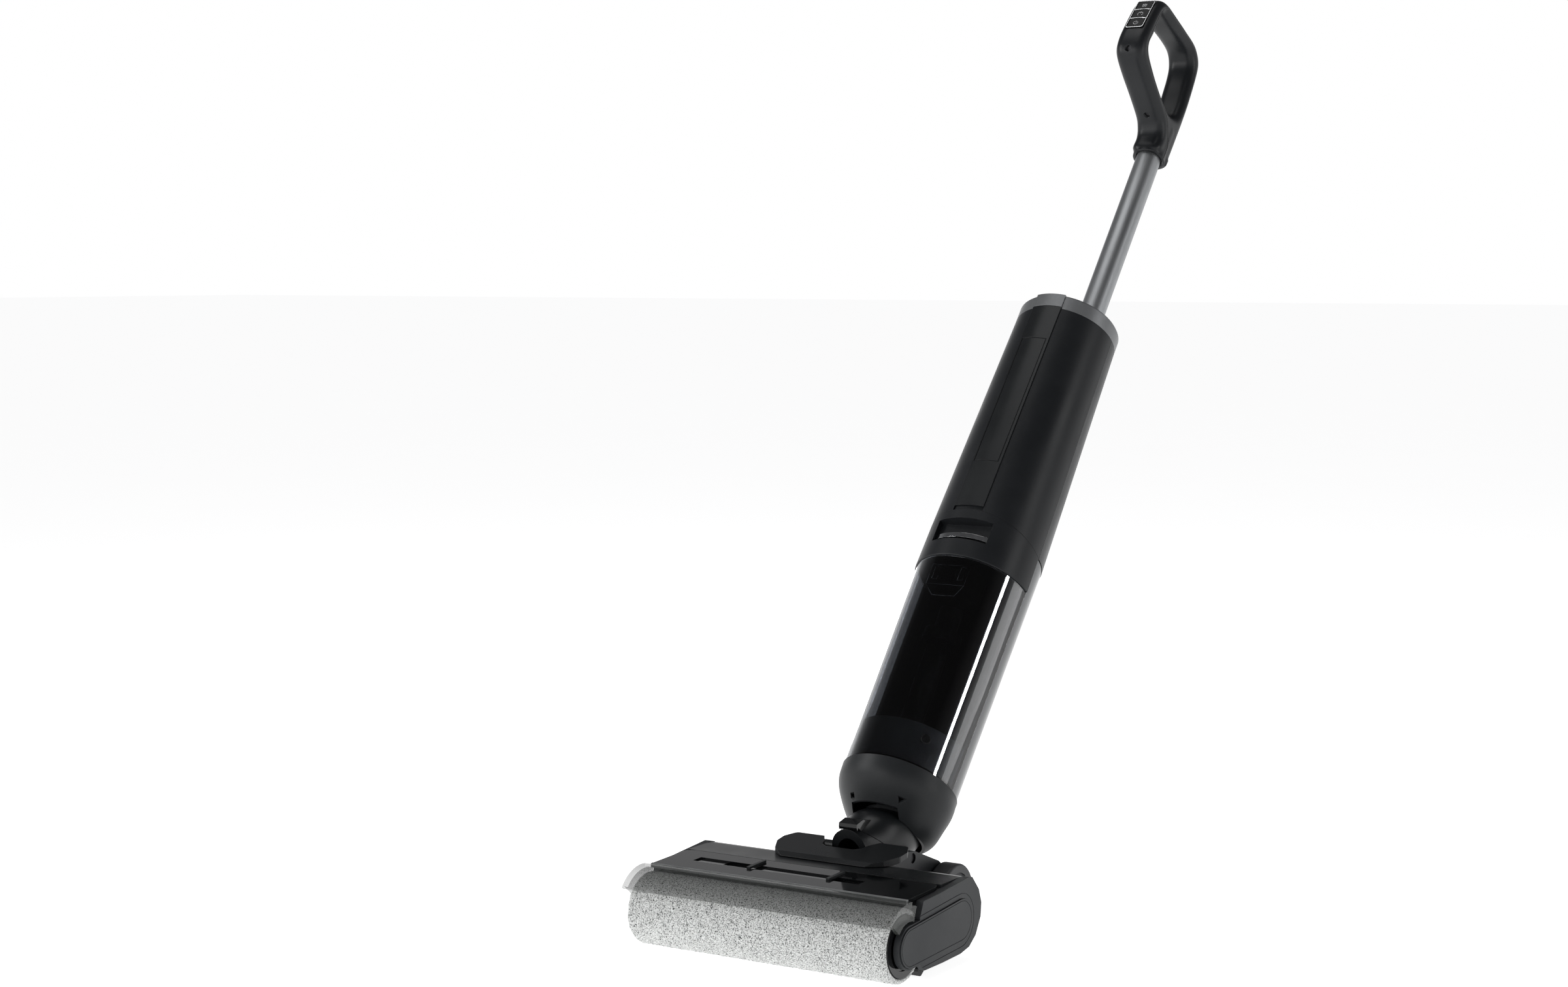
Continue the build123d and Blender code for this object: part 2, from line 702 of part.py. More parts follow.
keep("chassis", make_chassis())
keep("head_cover", make_head_cover())
keep("arm_right", make_arm_right())
keep("belt_cover", make_belt_cover())
keep("arm_left", make_arm_left())
keep("drive_belt", make_drive_belt())
keep("brush_motor", make_brush_motor())
keep("suction_duct", make_suction_duct())
keep("scraper", make_scraper())
keep("boss_plate", make_boss_plate())
keep("rear_carrier", make_rear_carrier())
keep("pivot_pins", make_pivot_pins())
keep("wheel_axles", make_wheel_axles())
keep("motor_pulley", make_motor_pulley())
keep("roller_sleeve", make_roller_sleeve())
keep("roller_core", make_roller_core())
keep("roller_caps", make_roller_caps())
keep("roller_pulley", make_roller_pulley())
keep("hood", make_hood())
keep("front_seal", make_front_seal())
keep("window_panel", make_window_panel())
keep("cover_clips", make_cover_clips())
keep("tyre_right", make_tyre())
keep("hub_right", make_hub())
keep("tyre_left", mirror(make_tyre(), about=Plane.YZ))
keep("hub_left", mirror(make_hub(), about=Plane.YZ))
keep("knuckle", make_knuckle())
keep("latch_block", make_latch_block())
keep("neck", make_neck())
keep("neck_collar", in_body(make_neck_collar()))
keep("bowl", make_bowl())
keep("spine", in_body(make_spine()))
keep("front_housing", in_body(make_front_housing()))
keep("front_strip", in_body(make_front_strip()))
keep("strip_cap", in_body(make_strip_cap()))
keep("rear_housing", in_body(make_rear_housing()))
keep("top_ring", in_body(make_top_ring()))
keep("tube", in_body(make_tube()))
keep("tube_socket", in_body(make_tube_socket()))
keep("fan_motor", in_body(make_fan_motor()))
keep("impeller", in_body(make_impeller()))
keep("battery_pack", in_body(make_battery_pack()))
keep("control_board", in_body(make_control_board()))
keep("dirty_tank", in_body(make_dirty_tank()))
keep("base_cup", in_body(make_base_cup()))
keep("cup_plug", in_body(make_cup_plug()))
keep("riser_tube", in_body(make_riser_tube()))
keep("float_ring", in_body(make_float_ring()))
keep("filter_cage", in_body(make_filter_cage()))
keep("tank_head", in_body(make_tank_head()))
keep("release_bar", in_body(make_release_bar()))
keep("clean_tank", in_body(make_clean_tank()))
keep("clean_cap", in_body(make_clean_cap()))
keep("handle_front", in_body(make_handle_front()))
keep("handle_rear", in_body(make_handle_rear()))
keep("button_bezel", in_body(make_button_bezel()))
keep("button_low", in_body(make_button(-14.4)))
keep("button_middle", in_body(make_button(0.0)))
keep("button_top", in_body(make_button(14.4)))
keep("handle_screws", in_body(make_handle_screws()))

for name, shape in NODES.items():
    export_step(shape, "parts/" + name + ".step")
    print(name, len(shape.solids()))
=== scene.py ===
import json
from math import cos, pi, radians, sin

import bmesh
import bpy
import numpy as np
from mathutils import Matrix, Vector

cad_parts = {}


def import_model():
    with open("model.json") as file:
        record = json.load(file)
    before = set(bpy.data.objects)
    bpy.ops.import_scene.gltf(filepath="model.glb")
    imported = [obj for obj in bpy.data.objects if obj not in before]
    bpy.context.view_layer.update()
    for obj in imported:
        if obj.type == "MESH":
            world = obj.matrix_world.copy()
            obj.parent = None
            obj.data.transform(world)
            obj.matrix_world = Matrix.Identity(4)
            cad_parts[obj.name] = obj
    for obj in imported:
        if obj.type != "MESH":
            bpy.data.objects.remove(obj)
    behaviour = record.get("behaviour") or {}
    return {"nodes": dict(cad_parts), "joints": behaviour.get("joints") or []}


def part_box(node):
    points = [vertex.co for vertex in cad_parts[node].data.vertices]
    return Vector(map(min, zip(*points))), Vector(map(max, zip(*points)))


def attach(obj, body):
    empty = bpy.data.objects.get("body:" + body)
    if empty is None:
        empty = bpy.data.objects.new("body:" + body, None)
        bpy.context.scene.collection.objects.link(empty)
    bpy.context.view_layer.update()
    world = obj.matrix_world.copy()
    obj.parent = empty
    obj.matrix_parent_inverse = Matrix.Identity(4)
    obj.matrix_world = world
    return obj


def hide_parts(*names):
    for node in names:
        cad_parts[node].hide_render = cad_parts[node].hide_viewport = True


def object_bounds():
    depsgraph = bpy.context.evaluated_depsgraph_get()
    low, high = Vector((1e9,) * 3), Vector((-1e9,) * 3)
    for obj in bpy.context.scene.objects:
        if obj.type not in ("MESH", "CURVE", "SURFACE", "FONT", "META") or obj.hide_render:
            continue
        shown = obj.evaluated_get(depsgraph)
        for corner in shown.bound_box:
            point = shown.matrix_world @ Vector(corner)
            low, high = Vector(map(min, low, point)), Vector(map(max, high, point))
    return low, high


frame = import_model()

CAD_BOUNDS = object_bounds()
NODES = frame["nodes"]
RNG = np.random.default_rng(7)

# ---- the leaning body's own axes, taken from its swivel and roller joints ----
MM = 0.001
FOOT_BEHIND_ROLLER = 0.1174
JOINTS = {j["name"]: j for j in frame["joints"]}
UP = Vector(JOINTS["swivel"]["axis"]).normalized()
FRONT = Vector((0.0, -UP.z, UP.y))
ROLLER = Vector(JOINTS["roller_spin"]["pos_m"])
FOOT = Vector((0.0, ROLLER.y + FOOT_BEHIND_ROLLER, 0.0))


def body_point(x, back, up):
    """Point in the body's own axes, in millimetres: across, backwards from its axis, and along it."""
    return FOOT + (Vector((x, 0, 0)) - FRONT * back + UP * up) * MM


BODY_MATRIX = Matrix((
    (1, 0, 0, FOOT.x),
    (0, -FRONT.y, UP.y, FOOT.y),
    (0, -FRONT.z, UP.z, FOOT.z),
    (0, 0, 0, 1),
))


# ---- materials ----
def new_material(name):
    mat = bpy.data.materials.new(name)
    mat.use_nodes = True
    tree = mat.node_tree
    shader = tree.nodes["Principled BSDF"]
    return mat, tree, shader


def link(tree, a, b):
    tree.links.new(a, b)


def coords(tree, stretch=(1, 1, 1), turn=(0, 0, 0)):
    where = tree.nodes.new("ShaderNodeTexCoord")
    mapping = tree.nodes.new("ShaderNodeMapping")
    mapping.inputs["Scale"].default_value = stretch
    mapping.inputs["Rotation"].default_value = turn
    link(tree, where.outputs["Object"], mapping.inputs["Vector"])
    return mapping.outputs["Vector"]


def noise(tree, vector, scale, detail=4.0, rough=0.55):
    node = tree.nodes.new("ShaderNodeTexNoise")
    node.inputs["Scale"].default_value = scale
    node.inputs["Detail"].default_value = detail
    node.inputs["Roughness"].default_value = rough
    link(tree, vector, node.inputs["Vector"])
    return node.outputs["Fac"]


def spread(tree, source, low, high, from_low=0.3, from_high=0.7):
    node = tree.nodes.new("ShaderNodeMapRange")
    node.inputs["From Min"].default_value = from_low
    node.inputs["From Max"].default_value = from_high
    node.inputs["To Min"].default_value = low
    node.inputs["To Max"].default_value = high
    link(tree, source, node.inputs["Value"])
    return node.outputs["Result"]


def ramp(tree, source, stops):
    node = tree.nodes.new("ShaderNodeValToRGB")
    band = node.color_ramp
    while len(band.elements) < len(stops):
        band.elements.new(0.5)
    for element, (place, colour) in zip(band.elements, stops):
        element.position = place
        element.color = (*colour, 1.0)
    link(tree, source, node.inputs["Fac"])
    return node.outputs["Color"]


def bump(tree, source, strength, distance, below=None):
    node = tree.nodes.new("ShaderNodeBump")
    node.inputs["Strength"].default_value = strength
    node.inputs["Distance"].default_value = distance
    link(tree, source, node.inputs["Height"])
    if below is not None:
        link(tree, below, node.inputs["Normal"])
    return node.outputs["Normal"]


def tint(colour, k):
    return tuple(min(1.0, c * k) for c in colour)


def shades(tree, source, colour, dark, light, low=0.3, high=0.7):
    """One colour going from a darker to a lighter shade as the source rises from low to high."""
    return ramp(tree, source, [(low, tint(colour, dark)), (high, tint(colour, light))])


def softened(tree, radius):
    """A surface direction that rounds edges off to the given radius."""
    node = tree.nodes.new("ShaderNodeBevel")
    node.samples = 4
    node.inputs["Radius"].default_value = radius
    return node.outputs["Normal"]


def colour_mix(tree, kind="MIX"):
    node = tree.nodes.new("ShaderNodeMix")
    node.data_type = "RGBA"
    node.blend_type = kind
    return node


def moulded(name, colour, rough, grain=0.12, edge=0.0005, variation=0.12, metallic=0.0, sheen=0.25):
    """Moulded plastic: fine grain, slightly uneven colour and sheen, pale specks, softened edges."""
    mat, tree, shader = new_material(name)
    place = coords(tree)
    cloud = noise(tree, place, 14.0, 3.0)
    dust = noise(tree, place, 240.0, 4.0, 0.7)
    mix = colour_mix(tree)
    link(tree, spread(tree, dust, 0.0, 0.5, 0.52, 0.9), mix.inputs["Factor"])
    link(tree, shades(tree, cloud, colour, 1 - variation, 1 + variation), mix.inputs["A"])
    mix.inputs["B"].default_value = (*tint(colour, 1.5), 1.0)
    link(tree, mix.outputs["Result"], shader.inputs["Base Color"])
    link(tree, spread(tree, cloud, rough * 0.85, min(1.0, rough * 1.18)), shader.inputs["Roughness"])
    shader.inputs["Metallic"].default_value = metallic
    shader.inputs["IOR"].default_value = 1.47
    shader.inputs["Specular IOR Level"].default_value = sheen
    rounded = softened(tree, edge)
    fine = noise(tree, place, 2600.0, 2.0, 0.5)
    link(tree, bump(tree, fine, grain, 0.00012, rounded), shader.inputs["Normal"])
    return mat


def gloss(name, colour, rough=0.06, edge=0.0004, streak=0.25):
    """Polished plastic with faint wiping marks and dust."""
    mat, tree, shader = new_material(name)
    place = coords(tree)
    wiped = noise(tree, coords(tree, (30, 3, 3)), 6.0, 5.0, 0.7)
    dust = noise(tree, place, 700.0, 2.0, 0.5)
    link(tree, shades(tree, dust, colour, 1.0, 2.2, 0.45, 0.85), shader.inputs["Base Color"])
    uneven = spread(tree, wiped, rough * (1 - streak), rough * (1 + 2 * streak))
    link(tree, uneven, shader.inputs["Roughness"])
    shader.inputs["IOR"].default_value = 1.5
    rounded = softened(tree, edge)
    ripple = noise(tree, place, 30.0, 2.0)
    link(tree, bump(tree, ripple, 0.02, 0.0002, rounded), shader.inputs["Normal"])
    return mat


def smoked(name, colour, rough=0.02):
    """Clear tinted plastic."""
    mat, tree, shader = new_material(name)
    place = coords(tree)
    cloud = noise(tree, place, 20.0, 3.0)
    fine = noise(tree, place, 900.0, 3.0, 0.6)
    link(tree, shades(tree, cloud, colour, 0.93, 1.06), shader.inputs["Base Color"])
    link(tree, spread(tree, fine, rough * 0.7, rough * 1.6), shader.inputs["Roughness"])
    shader.inputs["Transmission Weight"].default_value = 1.0
    shader.inputs["IOR"].default_value = 1.49
    link(tree, bump(tree, cloud, 0.02, 0.0003), shader.inputs["Normal"])
    return mat


def veiled(name, colour, thin, thick, rough=0.1):
    """Thin translucent plastic, denser where the eye looks along the sheet."""
    mat, tree, shader = new_material(name)
    place = coords(tree)
    cloud = noise(tree, place, 25.0, 3.0)
    scuff = noise(tree, coords(tree, (2, 40, 40)), 12.0, 5.0, 0.7)
    link(tree, shades(tree, cloud, colour, 0.9, 1.1), shader.inputs["Base Color"])
    link(tree, spread(tree, scuff, rough * 0.7, rough * 1.5), shader.inputs["Roughness"])
    grazing = tree.nodes.new("ShaderNodeLayerWeight")
    grazing.inputs["Blend"].default_value = 0.35
    link(tree, spread(tree, grazing.outputs["Facing"], thin, thick, 0.15, 0.95), shader.inputs["Alpha"])
    shader.inputs["IOR"].default_value = 1.5
    shader.inputs["Specular IOR Level"].default_value = 0.8
    link(tree, bump(tree, cloud, 0.02, 0.0003), shader.inputs["Normal"])
    return mat


def brushed(name, colour, rough, stretch, turn=(0, 0, 0), edge=0.0003):
    """Metal with fine brushing along one way."""
    mat, tree, shader = new_material(name)
    lines = noise(tree, coords(tree, stretch, turn), 40.0, 6.0, 0.7)
    cloud = noise(tree, coords(tree), 12.0, 3.0)
    link(tree, shades(tree, lines, colour, 0.86, 1.1), shader.inputs["Base Color"])
    shader.inputs["Metallic"].default_value = 1.0
    link(tree, spread(tree, cloud, rough * 0.92, rough * 1.08), shader.inputs["Roughness"])
    rounded = softened(tree, edge) if edge else None
    link(tree, bump(tree, lines, 0.15, 0.00003, rounded), shader.inputs["Normal"])
    return mat


def soft_rubber(name, colour, rough=0.62):
    """Dull rubber with a fine rough skin."""
    mat, tree, shader = new_material(name)
    place = coords(tree)
    cloud = noise(tree, place, 60.0, 4.0)
    fine = noise(tree, place, 1500.0, 3.0, 0.6)
    link(tree, shades(tree, cloud, colour, 0.8, 1.25, 0.3, 0.75), shader.inputs["Base Color"])
    link(tree, spread(tree, fine, rough * 0.9, rough * 1.15), shader.inputs["Roughness"])
    link(tree, bump(tree, fine, 0.25, 0.0001), shader.inputs["Normal"])
    return mat


def bent_coords(tree, place, scale, reach):
    """Coordinates pushed about by noise, so that a pattern laid on them winds."""
    bend = tree.nodes.new("ShaderNodeTexNoise")
    bend.inputs["Scale"].default_value = scale
    bend.inputs["Detail"].default_value = 2.0
    link(tree, place, bend.inputs["Vector"])
    add = tree.nodes.new("ShaderNodeVectorMath")
    add.operation = "MULTIPLY_ADD"
    add.inputs[1].default_value = (reach, reach, reach)
    link(tree, bend.outputs["Color"], add.inputs[0])
    link(tree, place, add.inputs[2])
    return add.outputs["Vector"]


def microfibre(name):
    """Short grey pile with darker threads scattered through it."""
    mat, tree, shader = new_material(name)
    place = coords(tree)
    threads = noise(tree, bent_coords(tree, place, 500.0, 0.0025), 1000.0, 1.0, 0.4)
    fine = noise(tree, place, 1500.0, 3.0, 0.6)
    dark, middle, pale = (0.04, 0.042, 0.042), (0.42, 0.43, 0.42), (0.74, 0.75, 0.74)
    mix = colour_mix(tree, "MULTIPLY")
    mix.inputs["Factor"].default_value = 1.0
    link(tree, ramp(tree, threads, [(0.33, dark), (0.42, middle), (0.56, pale)]), mix.inputs["A"])
    link(tree, ramp(tree, fine, [(0.3, (0.72, 0.72, 0.72)), (0.6, (1, 1, 1))]), mix.inputs["B"])
    link(tree, mix.outputs["Result"], shader.inputs["Base Color"])
    shader.inputs["Roughness"].default_value = 0.95
    shader.inputs["Sheen Weight"].default_value = 0.35
    shader.inputs["Sheen Roughness"].default_value = 0.5
    shader.inputs["Specular IOR Level"].default_value = 0.2
    link(tree, bump(tree, fine, 0.5, 0.0004), shader.inputs["Normal"])
    return mat


BLACK = moulded("satin_black", (0.0105, 0.0115, 0.013), 0.36)
CHARCOAL = moulded("satin_charcoal", (0.017, 0.0185, 0.020), 0.38)
ARM_GREY = moulded("satin_dark_grey", (0.024, 0.026, 0.028), 0.44)
PLATE = moulded("plate_black", (0.0085, 0.0095, 0.0105), 0.30, sheen=0.35)
TRIM = moulded("satin_grey_trim", (0.17, 0.175, 0.18), 0.36, metallic=0.5, sheen=0.4)
GLOSS = gloss("gloss_black", (0.004, 0.0042, 0.0046), 0.05)
WINDOW = gloss("window_smoked", (0.005, 0.0055, 0.006), 0.05)
CLEAN = gloss("clean_tank_grey", (0.012, 0.013, 0.014), 0.09)
SMOKED = smoked("tank_smoked", (0.20, 0.21, 0.225), 0.012)
HOOD = veiled("hood_smoked", (0.085, 0.092, 0.086), 0.22, 0.66, 0.07)
TUBE = brushed("tube_aluminium", (0.36, 0.37, 0.38), 0.42, (60, 1, 1), (radians(38.9), 0, 0), 0.0)
CHROME = brushed("bright_chrome", (0.8, 0.81, 0.82), 0.09, (3, 3, 3))
STEEL = brushed("plain_steel", (0.5, 0.51, 0.52), 0.3, (3, 30, 3))
OXIDE = brushed("black_screw", (0.03, 0.03, 0.032), 0.35, (30, 30, 3))
RUBBER = soft_rubber("black_rubber", (0.008, 0.008, 0.0085))
SEAL = soft_rubber("grey_seal", (0.16, 0.165, 0.165), 0.45)
TREAD = soft_rubber("grey_tread", (0.026, 0.027, 0.029), 0.5)
INNER = moulded("inner_plastic", (0.03, 0.032, 0.034), 0.5)
HIDDEN = moulded("deep_black", (0.003, 0.003, 0.0032), 0.6, sheen=0.1)
CUP = moulded("cup_grey", (0.16, 0.165, 0.17), 0.5)
BOARD = moulded("circuit_green", (0.01, 0.09, 0.035), 0.35)
CELLS = moulded("cell_wrap", (0.02, 0.04, 0.13), 0.3)
BUTTON = moulded("button_black", (0.003, 0.003, 0.0033), 0.2, grain=0.02, sheen=0.12)
PILE = microfibre("microfibre")
WHITE_INK = moulded("icon_white", (0.75, 0.76, 0.77), 0.5, grain=0.02, variation=0.05)

FINISH = {
    BLACK: ("front_housing", "rear_housing", "tank_head", "handle_front", "handle_rear", "rear_carrier"),
    CHARCOAL: ("bowl", "hub_right", "hub_left", "cover_clips"),
    ARM_GREY: ("arm_right", "arm_left", "belt_cover"),
    PLATE: ("boss_plate", "head_cover", "front_strip", "knuckle", "neck", "chassis"),
    TRIM: ("strip_cap", "top_ring"),
    GLOSS: ("latch_block", "roller_caps", "cup_plug"),
    BUTTON: ("button_low", "button_middle", "button_top", "button_bezel"),
    WINDOW: ("window_panel",),
    CLEAN: ("clean_tank",),
    SMOKED: ("dirty_tank",),
    HOOD: ("hood",),
    TUBE: ("tube",),
    CHROME: ("release_bar",),
    STEEL: ("brush_motor", "fan_motor"),
    OXIDE: ("handle_screws", "pivot_pins", "wheel_axles"),
    RUBBER: ("drive_belt", "scraper", "clean_cap"),
    SEAL: ("front_seal",),
    TREAD: ("tyre_right", "tyre_left"),
    INNER: ("suction_duct", "motor_pulley", "roller_core", "roller_pulley", "neck_collar", "spine",
            "tube_socket", "impeller"),
    HIDDEN: ("riser_tube", "float_ring", "filter_cage"),
    CUP: ("base_cup",),
    BOARD: ("control_board",),
    CELLS: ("battery_pack",),
    PILE: ("roller_sleeve",),
}
for finish, names in FINISH.items():
    for name in names:
        slots = NODES[name].data.materials
        if not slots:
            slots.append(finish)
        for k in range(len(slots)):
            slots[k] = finish


# ---- mesh helpers ----
def add_mesh(name, verts, faces, mat, body, smooth=True):
    mesh = bpy.data.meshes.new(name)
    mesh.from_pydata([tuple(v) for v in verts], [], [tuple(f) for f in faces])
    mesh.validate()
    mesh.update()
    mesh.materials.append(mat)
    if smooth:
        mesh.shade_smooth()
    obj = bpy.data.objects.new(name, mesh)
    bpy.context.scene.collection.objects.link(obj)
    if body:
        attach(obj, body)
    return obj


def tube_along(name, points, radius, mat, body, closed=False, sides=8):
    """A thin round bead along a line of world points, as a mesh."""
    pts = [Vector(p) for p in points]
    n = len(pts)
    verts, faces = [], []
    for i, p in enumerate(pts):
        ahead = pts[(i + 1) % n] if closed or i < n - 1 else p
        behind = pts[i - 1] if closed or i > 0 else p
        t = (ahead - behind).normalized()
        side = t.cross(Vector((0.31, 0.17, 0.93))).normalized()
        up = t.cross(side).normalized()
        for k in range(sides):
            a = 2 * pi * k / sides
            verts.append(p + (side * cos(a) + up * sin(a)) * radius)
    for i in range(n if closed else n - 1):
        j = (i + 1) % n
        for k in range(sides):
            m = (k + 1) % sides
            faces.append((i * sides + k, i * sides + m, j * sides + m, j * sides + k))
    if not closed:
        faces.append(tuple(range(sides))[::-1])
        faces.append(tuple((n - 1) * sides + k for k in range(sides)))
    return add_mesh(name, verts, faces, mat, body)


# ---- roller: a thick pile round the sleeve (lengths in metres) ----
PILE_SHOULDER = 0.0032
PILE_BORE = 0.0273
PILE_SINK = 0.0007
TUFT_HEIGHT = 0.00022
CLUMP_HEIGHT = 0.00025
MOST_ROUGHNESS = 0.0006


def blended(grid, shifts):
    """Average of a grid and its copies, each moved some cells along one of its axes."""
    total = grid
    for cells, axis in shifts:
        total = total + np.roll(grid, cells, axis)
    return total / (len(shifts) + 1)


def pile_roughness(rows, columns):
    """Height of the pile over a grid: fine tufts standing on clumps four cells wide."""
    tufts = RNG.standard_normal((rows, columns))
    clumps = RNG.standard_normal((rows // 4 + 2, columns // 4))
    clumps = np.kron(clumps, np.ones((4, 4)))[:rows, :columns]
    clumps = blended(clumps, ((1, 0), (1, 1), (2, 0), (2, 1)))
    tufts = blended(tufts, ((1, 0), (1, 1), (-1, 1)))
    return np.clip(TUFT_HEIGHT * tufts + CLUMP_HEIGHT * clumps, -MOST_ROUGHNESS, MOST_ROUGHNESS)


def pile_outline(low_x, high_x, count):
    """Places along the roller, and how far in the pile's rounded ends lie at each of them."""
    places = low_x + (high_x - low_x) * np.linspace(0, 1, count)
    from_end = np.minimum(places - low_x, high_x - places)
    near = from_end < PILE_SHOULDER
    dip = np.zeros(count)
    drop = PILE_SHOULDER**2 - (PILE_SHOULDER - from_end[near]) ** 2
    dip[near] = PILE_SHOULDER - np.sqrt(np.maximum(0, drop))
    return places, dip


def pile_faces(rows, columns):
    """Faces of the pile's outside, its two ends and its bore; the two rims' points come last."""
    faces = []
    for i in range(rows - 1):
        for k in range(columns):
            m = (k + 1) % columns
            here, there = i * columns, (i + 1) * columns
            faces.append((here + k, there + k, there + m, here + m))
    last = (rows - 1) * columns
    near_rim = rows * columns
    far_rim = near_rim + columns
    for k in range(columns):
        m = (k + 1) % columns
        faces.append((k, m, near_rim + m, near_rim + k))
        faces.append((last + m, last + k, far_rim + k, far_rim + m))
        faces.append((near_rim + k, near_rim + m, far_rim + m, far_rim + k))
    return faces


def roller_pile():
    """The pile turns with the roller and takes the place of its smooth sleeve."""
    low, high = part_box("roller_sleeve")
    rows, columns = ((620, 300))
    places, dip = pile_outline(low.x, high.x, rows)
    radius = ((high.z - low.z) / 2 - PILE_SINK - dip)[:, None] + pile_roughness(rows, columns)
    angle = np.linspace(0, 2 * pi, columns, endpoint=False)
    outside = np.stack([
        np.repeat(places[:, None], columns, 1),
        ROLLER.y + radius * np.cos(angle)[None, :],
        ROLLER.z + radius * np.sin(angle)[None, :],
    ], 2).reshape(-1, 3)
    rims = []
    for x in (low.x, high.x):
        rim_y = ROLLER.y + PILE_BORE * np.cos(angle)
        rim_z = ROLLER.z + PILE_BORE * np.sin(angle)
        rims.append(np.stack([np.full(columns, x), rim_y, rim_z], 1))
    obj = add_mesh("roller_pile", np.vstack([outside, *rims]), pile_faces(rows, columns), PILE, "roller")
    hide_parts("roller_sleeve")


roller_pile()


# ---- handle: one smooth loop with a rounded section (lengths in millimetres, as back and up) ----
OUTER = [
    (14.6, 950), (10, 958), (2, 963), (-23, 968.5), (-49, 973), (-70, 978.5), (-80, 986), (-83.5, 999),
    (-83, 1014), (-80, 1038), (-76.5, 1053), (-69, 1063), (-58, 1068.5), (-42, 1072), (-10, 1078),
    (14, 1082), (28, 1080), (39, 1073), (44.5, 1060), (48.4, 1027), (49.6, 998), (49.3, 969), (48.6, 940),
    (47.6, 932), (16.6, 932),
]
HOLE = [
    (-60, 1051), (-62.5, 1037), (-63, 1018), (-64.5, 1005), (-60, 997.5), (-43, 991), (-19.4, 985),
    (-1, 982.5), (11, 981.5), (22, 984.5), (31, 992), (33.2, 1010), (31.7, 1030), (30, 1046), (26, 1059),
    (16, 1066), (-2.4, 1064.5), (-29.4, 1058.5), (-50, 1055),
]
SEAM = [
    (31.6, 930), (31.6, 948), (24, 961), (10, 972.5), (-13, 978.8), (-40, 983), (-62, 988), (-70.5, 997),
    (-71.5, 1012), (-69, 1038), (-65, 1051), (-57, 1060), (-46, 1066), (-30, 1070), (-8, 1073),
]
TUBE_BACK = 31.6
HANDLE_END = 931.5
HALF_WIDTH = 16.5
ROUNDING = 9.4
COLLAR_RADIUS = 17.0
COLLAR_LENGTH = 46
COLLAR_MIDDLE = 948
BORE_RADIUS = 13.9
BORE_LENGTH = 22
VOXEL = 0.8
HOLE_RADIUS = 3.3
HOLE_LENGTH = 10.5
HOLE_SHIFT = 1.25
SEAM_RADIUS = 0.00032


def corner(points, i, closed):
    """A point of the line, counted round it if it is closed and held at its ends if it is not."""
    count = len(points)
    i = i % count if closed else min(max(i, 0), count - 1)
    return np.array(points[i], float)


def smooth_line(points, closed, steps=6):
    """Points along a rounded line through the given ones."""
    out = []
    for i in range(len(points) if closed else len(points) - 1):
        a, b, c, d = [corner(points, j, closed) for j in (i - 1, i, i + 1, i + 2)]
        for k in range(steps):
            t = k / steps
            bend = (2 * a - 5 * b + 4 * c - d) * t**2 + (3 * b - a - 3 * c + d) * t**3
            out.append(tuple(0.5 * (2 * b + (c - a) * t + bend)))
    if not closed:
        out.append(tuple(points[-1]))
    return out


def bake_modifiers(obj):
    graph = bpy.context.evaluated_depsgraph_get()
    mesh = bpy.data.meshes.new_from_object(obj.evaluated_get(graph))
    obj.modifiers.clear()
    old = obj.data
    obj.data = mesh
    bpy.data.meshes.remove(old)
    return obj


def outline_mesh():
    """The loop between its two outlines, with rounded edges, standing in the body's own axes."""
    data = bpy.data.curves.new("handle_outline", "CURVE")
    data.dimensions = "2D"
    data.fill_mode = "BOTH"
    data.extrude = HALF_WIDTH - ROUNDING
    data.bevel_depth = ROUNDING
    data.bevel_resolution = 7
    data.offset = -ROUNDING
    for line in (smooth_line(OUTER, True), smooth_line(HOLE, True)):
        spline = data.splines.new("POLY")
        spline.points.add(len(line) - 1)
        for point, (back, up) in zip(spline.points, line):
            point.co = (back, up, 0, 1)
        spline.use_cyclic_u = True
    plate = bpy.data.objects.new("handle_outline", data)
    bpy.context.scene.collection.objects.link(plate)
    bpy.context.view_layer.update()
    graph = bpy.context.evaluated_depsgraph_get()
    mesh = bpy.data.meshes.new_from_object(plate.evaluated_get(graph))
    bpy.data.objects.remove(plate)
    mesh.transform(Matrix(((0, 0, 1, 0), (1, 0, 0, 0), (0, 1, 0, 0), (0, 0, 0, 1))))
    return mesh


def add_collar(mesh):
    """The round collar that takes the tube."""
    bm = bmesh.new()
    bm.from_mesh(mesh)
    collar = bmesh.ops.create_cone(bm, cap_ends=True, segments=64, radius1=COLLAR_RADIUS,
                                   radius2=COLLAR_RADIUS, depth=COLLAR_LENGTH)
    bmesh.ops.translate(bm, verts=collar["verts"], vec=(0, TUBE_BACK, COLLAR_MIDDLE))
    bm.to_mesh(mesh)
    bm.free()


def loop_handle():
    """The loop and its collar merged into one skin and smoothed."""
    mesh = outline_mesh()
    add_collar(mesh)
    obj = bpy.data.objects.new("handle_shell", mesh)
    bpy.context.scene.collection.objects.link(obj)
    merge = obj.modifiers.new("merge", "REMESH")
    merge.mode = "VOXEL"
    merge.voxel_size = VOXEL
    relax = obj.modifiers.new("relax", "SMOOTH")
    relax.factor = 0.6
    relax.iterations = 26
    return bake_modifiers(obj)


def cutter(name, build):
    mesh = bpy.data.meshes.new(name)
    bm = bmesh.new()
    build(bm)
    bm.to_mesh(mesh)
    bm.free()
    obj = bpy.data.objects.new(name, mesh)
    bpy.context.scene.collection.objects.link(obj)
    return obj


